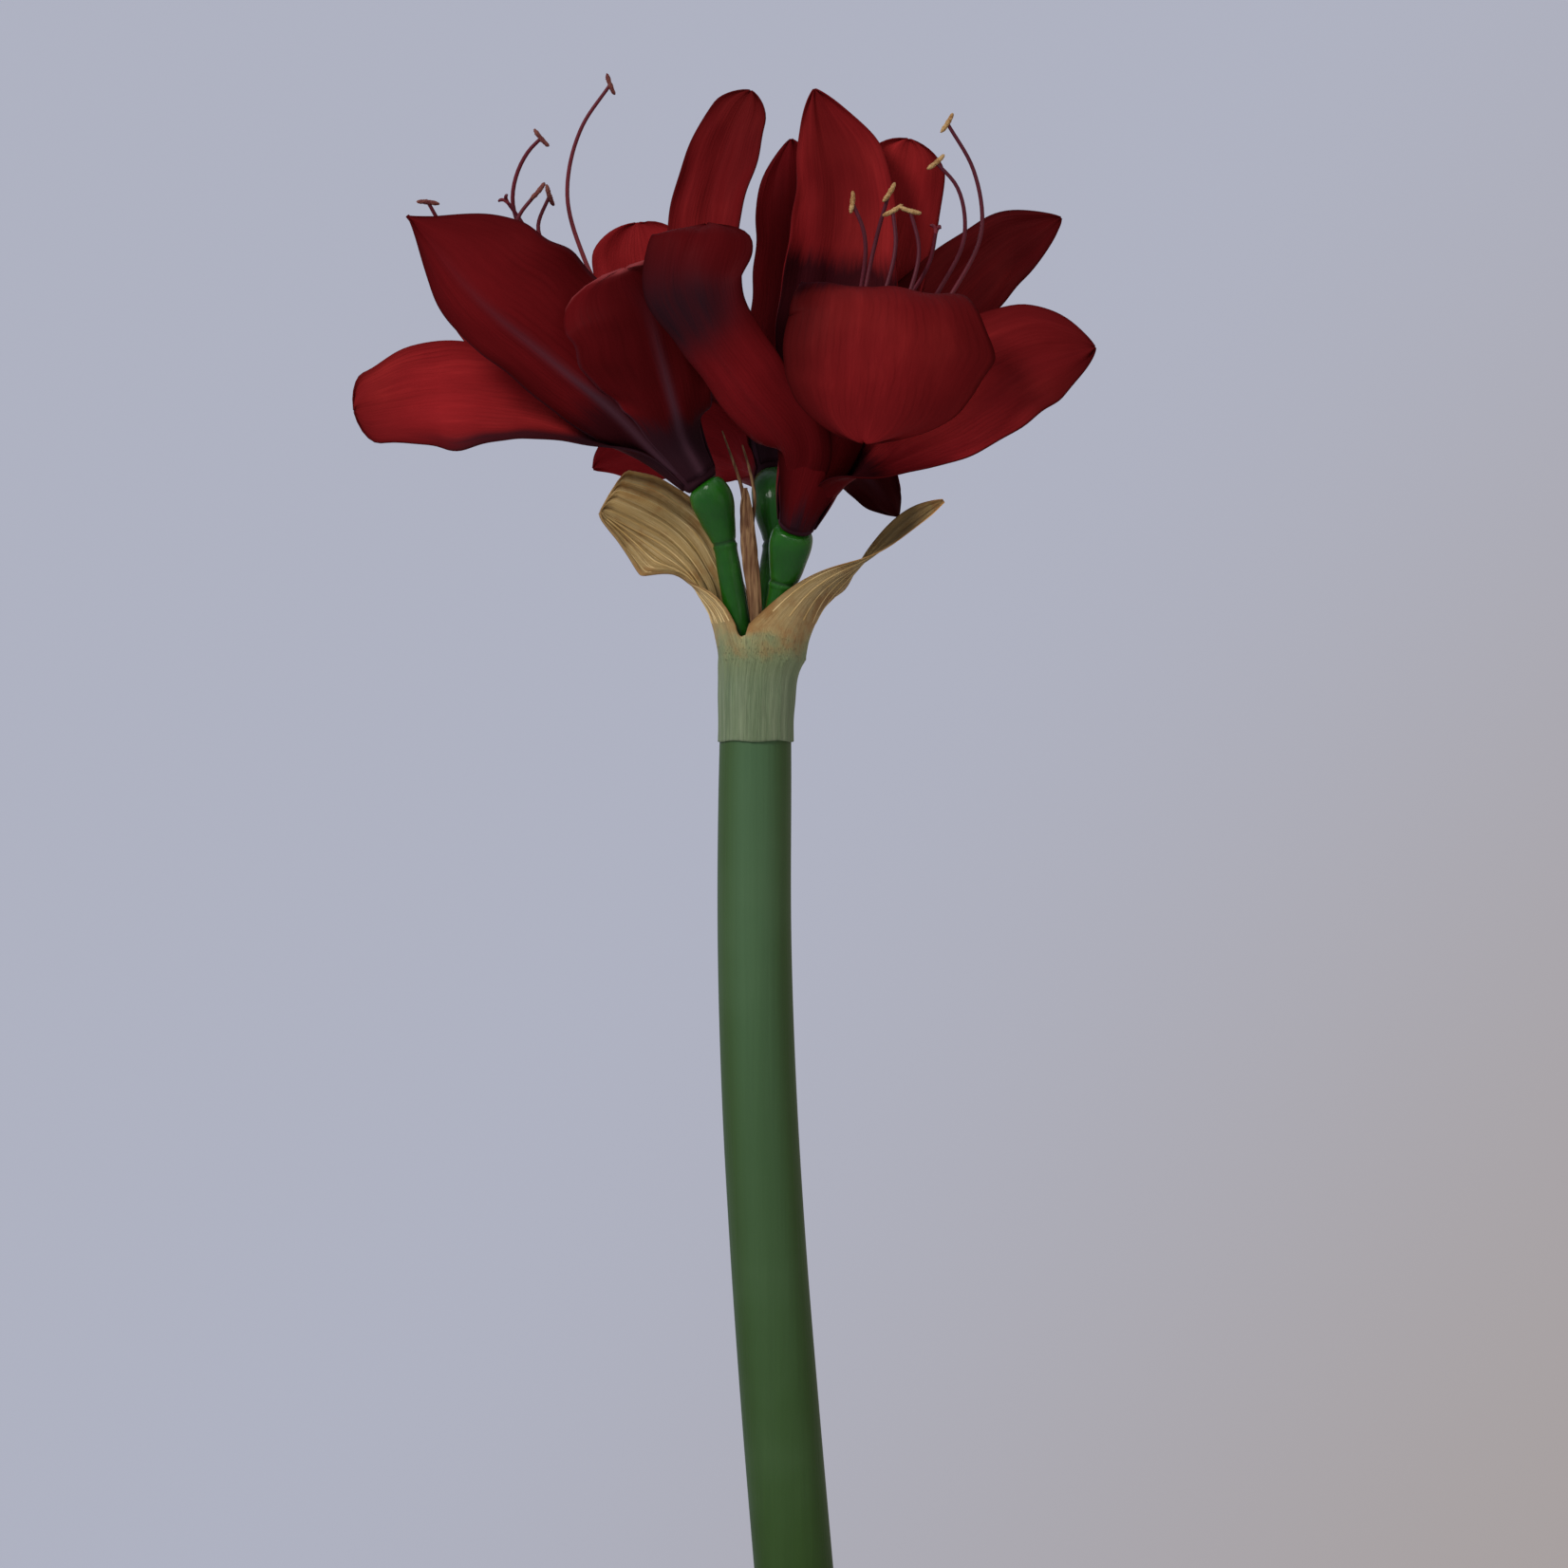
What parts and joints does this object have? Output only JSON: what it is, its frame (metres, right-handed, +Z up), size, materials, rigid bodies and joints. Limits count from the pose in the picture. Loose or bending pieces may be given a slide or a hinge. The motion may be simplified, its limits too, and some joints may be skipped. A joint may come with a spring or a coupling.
{
  "type": "amaryllis in vase",
  "caption": "Cut amaryllis: red trumpet blooms on a thick green stem with a split papery sheath, standing in water in a plain bottle vase; a table or shelf decoration.",
  "frame": {"origin": "centre of the vase's flat underside", "axes": "+Z is up along the stem; +X is to the right and +Y away from the viewer when the left and right blooms face the viewer"},
  "size_m": [0.2578, 0.19, 0.7817],
  "materials": {
    "glaze": "satin stone-coloured glaze",
    "water": "clear, still",
    "stem_green": "smooth waxy green, glossier on the flower stalks",
    "dry_sheath": "dry, finely ribbed, tan to pale green",
    "dry_bract": "dry, matte brown",
    "tepal_red": "velvet dark red with fine veins",
    "stamen_red": "red filaments, dusty tan anthers",
    "style_red": "smooth dark red"
  },
  "bodies": {
    "root": {"vase": "glaze", "water": "water", "scape": "stem_green", "sheath": "dry_sheath", "inner_bract": "dry_bract", "tepals_left": "tepal_red", "tepals_right": "tepal_red", "tepals_back": "tepal_red", "stamens_left": "stamen_red", "stamens_right": "stamen_red", "stamens_back": "stamen_red", "pistil_left": "style_red", "pistil_right": "style_red", "pistil_back": "style_red"}
  },
  "joints": []
}
